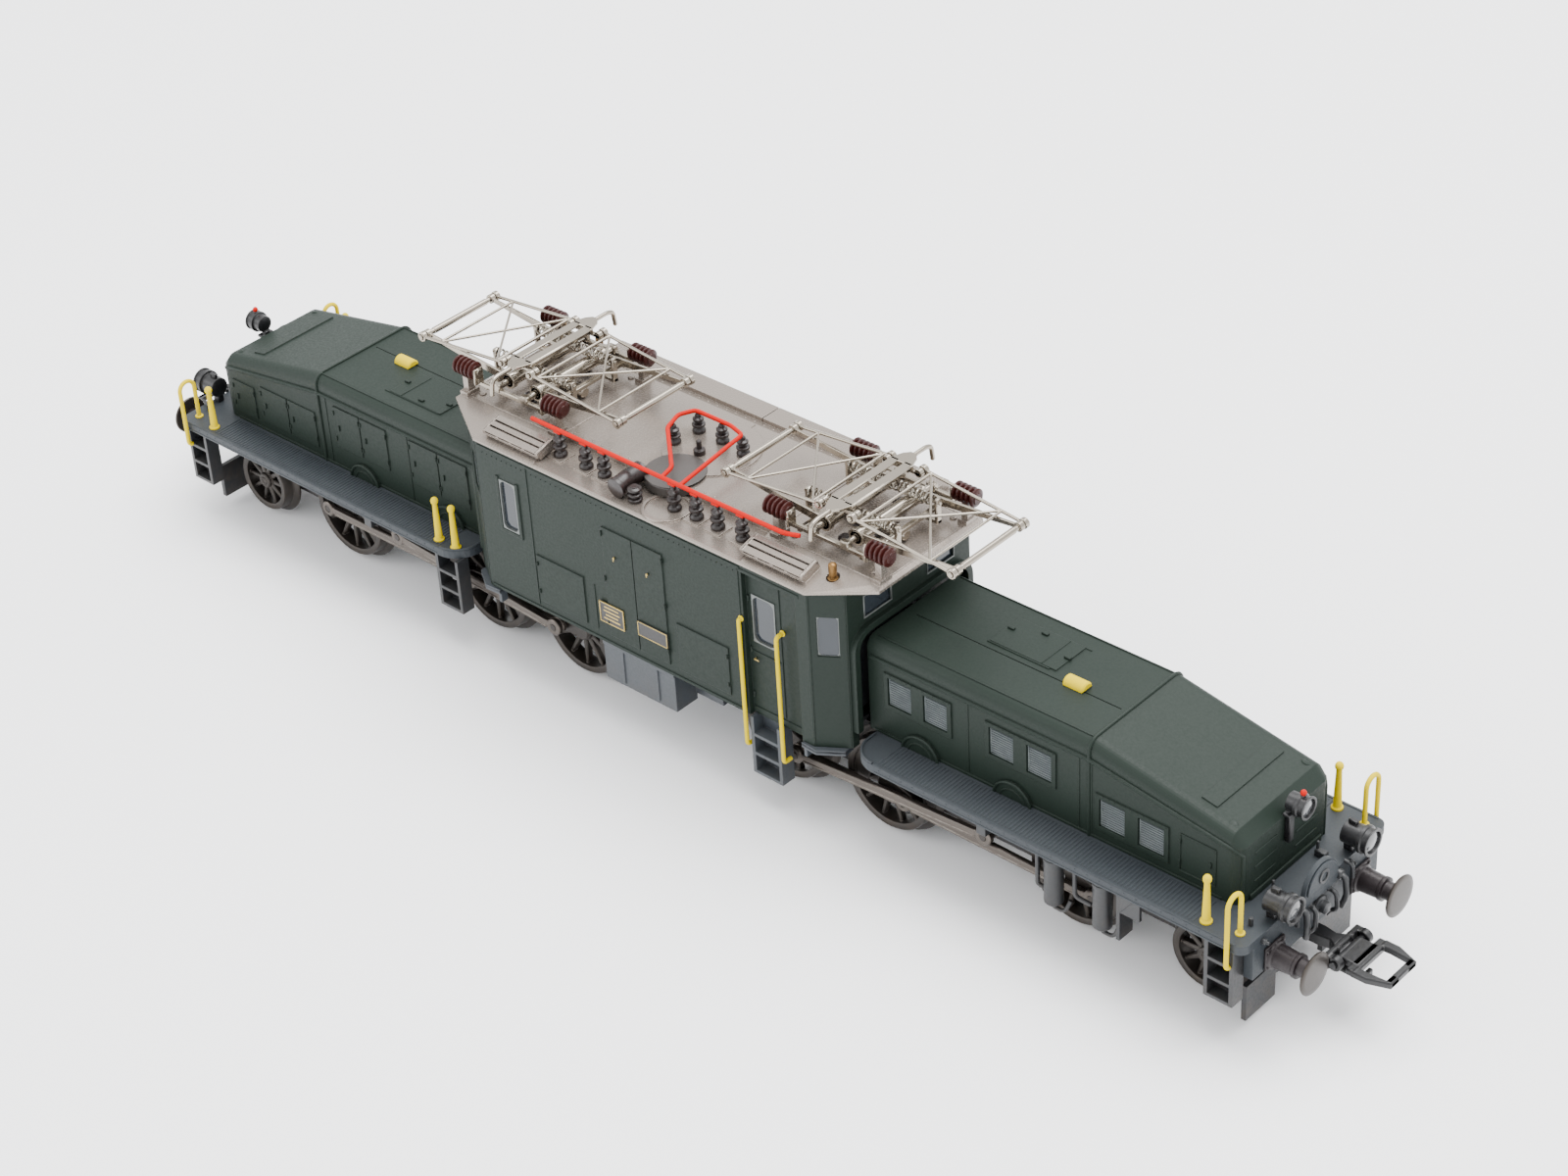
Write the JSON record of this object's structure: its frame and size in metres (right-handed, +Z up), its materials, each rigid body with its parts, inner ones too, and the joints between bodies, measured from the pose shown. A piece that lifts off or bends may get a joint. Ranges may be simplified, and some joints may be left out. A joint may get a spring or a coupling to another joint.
{
  "type": "model electric locomotive",
  "caption": "Articulated model electric locomotive with a centre cab body, two hooded rod-driven bogies and two folding pantographs.",
  "frame": {"origin": "under the middle of the locomotive, at the height of the lowest points of the wheel flanges", "axes": "+X along the track towards end 1, +Y across it, +Z up"},
  "size_m": [0.245, 0.0358, 0.0525],
  "materials": {
    "green_paint": "satin",
    "roof_paint": "satin",
    "deck_paint": "satin",
    "dark_paint": "satin",
    "cast_frame": "rough",
    "wheel_iron": "satin",
    "rod_steel": "satin",
    "nickel": "satin",
    "yellow_paint": "satin",
    "red_paint": "satin",
    "black_plastic": "satin",
    "brown_ceramic": "gloss",
    "brass": "satin",
    "louvre_metal": "satin",
    "window_glass": "gloss",
    "ballast_zinc": "rough"
  },
  "bodies": {
    "body": {"body_shell": "green_paint", "underframe": "dark_paint", "underfloor_gear": "deck_paint", "roof": "roof_paint", "glazing": "window_glass", "handrails": "yellow_paint", "side_plates": "brass", "post_insulators": "black_plastic", "busbar": "red_paint", "roof_fittings": "black_plastic", "ballast": "ballast_zinc", "pivot_screws": "rod_steel", "panto_insulators": "brown_ceramic", "panto_bases": "nickel"},
    "p1_lower_a": {"p1_lower_a": "nickel"},
    "p1_lower_b": {"p1_lower_b": "nickel"},
    "p1_upper_a": {"p1_upper_a": "nickel"},
    "p1_upper_b": {"p1_upper_b": "nickel"},
    "p1_head": {"p1_head": "nickel"},
    "p2_lower_a": {"p2_lower_a": "nickel"},
    "p2_lower_b": {"p2_lower_b": "nickel"},
    "p2_upper_a": {"p2_upper_a": "nickel"},
    "p2_upper_b": {"p2_upper_b": "nickel"},
    "p2_head": {"p2_head": "nickel"},
    "bogie_1": {"b1_frame": "cast_frame", "b1_deck": "deck_paint", "b1_hood": "green_paint", "b1_grilles": "louvre_metal", "b1_posts": "yellow_paint", "b1_lamps": "dark_paint", "b1_buffers": "dark_paint", "b1_fittings": "dark_paint", "motor": "rod_steel"},
    "coupler_1": {"b1_coupler": "dark_paint"},
    "loop_1": {"b1_loop": "dark_paint"},
    "carrier_1": {"b1_carrier": "wheel_iron"},
    "driver_11": {"b1_driver_1": "wheel_iron"},
    "driver_12": {"b1_driver_2": "wheel_iron"},
    "driver_13": {"b1_driver_3": "wheel_iron"},
    "jackshaft_1": {"b1_jackshaft": "wheel_iron"},
    "rods_1_near": {"b1_rods_near": "rod_steel"},
    "rods_1_far": {"b1_rods_far": "rod_steel"},
    "bogie_2": {"b2_frame": "cast_frame", "b2_deck": "deck_paint", "b2_hood": "green_paint", "b2_grilles": "louvre_metal", "b2_posts": "yellow_paint", "b2_lamps": "dark_paint", "b2_buffers": "dark_paint", "b2_fittings": "dark_paint"},
    "coupler_2": {"b2_coupler": "dark_paint"},
    "loop_2": {"b2_loop": "dark_paint"},
    "carrier_2": {"b2_carrier": "wheel_iron"},
    "driver_21": {"b2_driver_1": "wheel_iron"},
    "driver_22": {"b2_driver_2": "wheel_iron"},
    "driver_23": {"b2_driver_3": "wheel_iron"},
    "jackshaft_2": {"b2_jackshaft": "wheel_iron"},
    "rods_2_near": {"b2_rods_near": "rod_steel"},
    "rods_2_far": {"b2_rods_far": "rod_steel"},
    "pinion": {"motor_pinion": "brass"}
  },
  "joints": [
    {"name": "p1_raise", "type": "hinge", "parent": "body", "child": "p1_lower_a", "pos_m": [0.0349, 0, 0.0478], "axis": [0, -1, 0], "range_deg": [0, 36]},
    {"name": "p1_lower_b_turn", "type": "hinge", "parent": "body", "child": "p1_lower_b", "pos_m": [0.0289, 0, 0.0478], "axis": [0, 1, 0], "range_deg": [0, 36]},
    {"name": "p1_knee_a", "type": "hinge", "parent": "p1_lower_a", "child": "p1_upper_a", "pos_m": [0.0529, 0, 0.0496], "axis": [0, 1, 0], "range_deg": [0, 72]},
    {"name": "p1_knee_b", "type": "hinge", "parent": "p1_lower_b", "child": "p1_upper_b", "pos_m": [0.0109, 0, 0.0496], "axis": [0, -1, 0], "range_deg": [0, 72]},
    {"name": "p1_head_level", "type": "hinge", "parent": "p1_upper_a", "child": "p1_head", "pos_m": [0.0349, 0, 0.0514], "axis": [0, -1, 0], "range_deg": [0, 36]},
    {"name": "p2_raise", "type": "hinge", "parent": "body", "child": "p2_lower_a", "pos_m": [-0.0289, 0, 0.0478], "axis": [0, -1, 0], "range_deg": [0, 36]},
    {"name": "p2_lower_b_turn", "type": "hinge", "parent": "body", "child": "p2_lower_b", "pos_m": [-0.0349, 0, 0.0478], "axis": [0, 1, 0], "range_deg": [0, 36]},
    {"name": "p2_knee_a", "type": "hinge", "parent": "p2_lower_a", "child": "p2_upper_a", "pos_m": [-0.0109, 0, 0.0496], "axis": [0, 1, 0], "range_deg": [0, 72]},
    {"name": "p2_knee_b", "type": "hinge", "parent": "p2_lower_b", "child": "p2_upper_b", "pos_m": [-0.0529, 0, 0.0496], "axis": [0, -1, 0], "range_deg": [0, 72]},
    {"name": "p2_head_level", "type": "hinge", "parent": "p2_upper_a", "child": "p2_head", "pos_m": [-0.0289, 0, 0.0514], "axis": [0, -1, 0], "range_deg": [0, 36]},
    {"name": "bogie_1_swing", "type": "hinge", "parent": "body", "child": "bogie_1", "pos_m": [0.036, 0, 0.0156], "axis": [0, 0, 1], "range_deg": [-7, 7]},
    {"name": "coupler_1_swing", "type": "hinge", "parent": "bogie_1", "child": "coupler_1", "pos_m": [0.1046, 0, 0.0102], "axis": [0, 0, 1], "range_deg": [-12, 12]},
    {"name": "loop_1_lift", "type": "hinge", "parent": "coupler_1", "child": "loop_1", "pos_m": [0.1141, 0, 0.0101], "axis": [0, -1, 0], "range_deg": [0, 55]},
    {"name": "carrier_1_roll", "type": "hinge", "parent": "bogie_1", "child": "carrier_1", "pos_m": [0.0975, 0, 0.00655], "axis": [0, 1, 0], "continuous": true},
    {"name": "driver_11_roll", "type": "hinge", "parent": "bogie_1", "child": "driver_11", "pos_m": [0.0754, 0, 0.00885], "axis": [0, 1, 0], "continuous": true},
    {"name": "driver_12_roll", "type": "hinge", "parent": "bogie_1", "child": "driver_12", "pos_m": [0.0413, 0, 0.00885], "axis": [0, 1, 0], "continuous": true},
    {"name": "driver_13_roll", "type": "hinge", "parent": "bogie_1", "child": "driver_13", "pos_m": [0.0214, 0, 0.00885], "axis": [0, 1, 0], "continuous": true},
    {"name": "jackshaft_1_turn", "type": "hinge", "parent": "bogie_1", "child": "jackshaft_1", "pos_m": [0.057, 0, 0.0112], "axis": [0, 1, 0], "continuous": true},
    {"name": "rods_1_near_pin", "type": "hinge", "parent": "driver_11", "child": "rods_1_near", "pos_m": [0.07917, -0.0107, 0.00784], "axis": [0, 1, 0], "continuous": true},
    {"name": "rods_1_far_pin", "type": "hinge", "parent": "driver_11", "child": "rods_1_far", "pos_m": [0.07641, 0.0107, 0.01262], "axis": [0, 1, 0], "continuous": true},
    {"name": "bogie_2_swing", "type": "hinge", "parent": "body", "child": "bogie_2", "pos_m": [-0.036, 0, 0.0156], "axis": [0, 0, 1], "range_deg": [-7, 7]},
    {"name": "coupler_2_swing", "type": "hinge", "parent": "bogie_2", "child": "coupler_2", "pos_m": [-0.1046, 0, 0.0102], "axis": [0, 0, 1], "range_deg": [-12, 12]},
    {"name": "loop_2_lift", "type": "hinge", "parent": "coupler_2", "child": "loop_2", "pos_m": [-0.1141, 0, 0.0101], "axis": [0, 1, 0], "range_deg": [0, 55]},
    {"name": "carrier_2_roll", "type": "hinge", "parent": "bogie_2", "child": "carrier_2", "pos_m": [-0.0975, 0, 0.00655], "axis": [0, 1, 0], "continuous": true},
    {"name": "driver_21_roll", "type": "hinge", "parent": "bogie_2", "child": "driver_21", "pos_m": [-0.0754, 0, 0.00885], "axis": [0, 1, 0], "continuous": true},
    {"name": "driver_22_roll", "type": "hinge", "parent": "bogie_2", "child": "driver_22", "pos_m": [-0.0413, 0, 0.00885], "axis": [0, 1, 0], "continuous": true},
    {"name": "driver_23_roll", "type": "hinge", "parent": "bogie_2", "child": "driver_23", "pos_m": [-0.0214, 0, 0.00885], "axis": [0, 1, 0], "continuous": true},
    {"name": "jackshaft_2_turn", "type": "hinge", "parent": "bogie_2", "child": "jackshaft_2", "pos_m": [-0.057, 0, 0.0112], "axis": [0, 1, 0], "continuous": true},
    {"name": "rods_2_near_pin", "type": "hinge", "parent": "driver_21", "child": "rods_2_near", "pos_m": [-0.0793, -0.0107, 0.00885], "axis": [0, 1, 0], "continuous": true},
    {"name": "rods_2_far_pin", "type": "hinge", "parent": "driver_21", "child": "rods_2_far", "pos_m": [-0.0754, 0.0107, 0.00495], "axis": [0, 1, 0], "continuous": true},
    {"name": "pinion_turn", "type": "hinge", "parent": "bogie_1", "child": "pinion", "pos_m": [0.057, 0, 0.018], "axis": [0, 1, 0], "continuous": true}
  ],
  "couplings": [
    {"joint": "p1_lower_b_turn", "follows": "p1_raise", "ratio": 1},
    {"joint": "p1_knee_a", "follows": "p1_raise", "ratio": 2},
    {"joint": "p1_knee_b", "follows": "p1_raise", "ratio": 2},
    {"joint": "p1_head_level", "follows": "p1_raise", "ratio": 1},
    {"joint": "p2_lower_b_turn", "follows": "p2_raise", "ratio": 1},
    {"joint": "p2_knee_a", "follows": "p2_raise", "ratio": 2},
    {"joint": "p2_knee_b", "follows": "p2_raise", "ratio": 2},
    {"joint": "p2_head_level", "follows": "p2_raise", "ratio": 1},
    {"joint": "driver_12_roll", "follows": "driver_11_roll", "ratio": 1},
    {"joint": "driver_13_roll", "follows": "driver_11_roll", "ratio": 1},
    {"joint": "jackshaft_1_turn", "follows": "driver_11_roll", "ratio": 1},
    {"joint": "rods_1_near_pin", "follows": "driver_11_roll", "ratio": -1},
    {"joint": "rods_1_far_pin", "follows": "driver_11_roll", "ratio": -1},
    {"joint": "driver_22_roll", "follows": "driver_21_roll", "ratio": 1},
    {"joint": "driver_23_roll", "follows": "driver_21_roll", "ratio": 1},
    {"joint": "jackshaft_2_turn", "follows": "driver_21_roll", "ratio": 1},
    {"joint": "rods_2_near_pin", "follows": "driver_21_roll", "ratio": -1},
    {"joint": "rods_2_far_pin", "follows": "driver_21_roll", "ratio": -1},
    {"joint": "pinion_turn", "follows": "driver_11_roll", "ratio": -2.4}
  ]
}
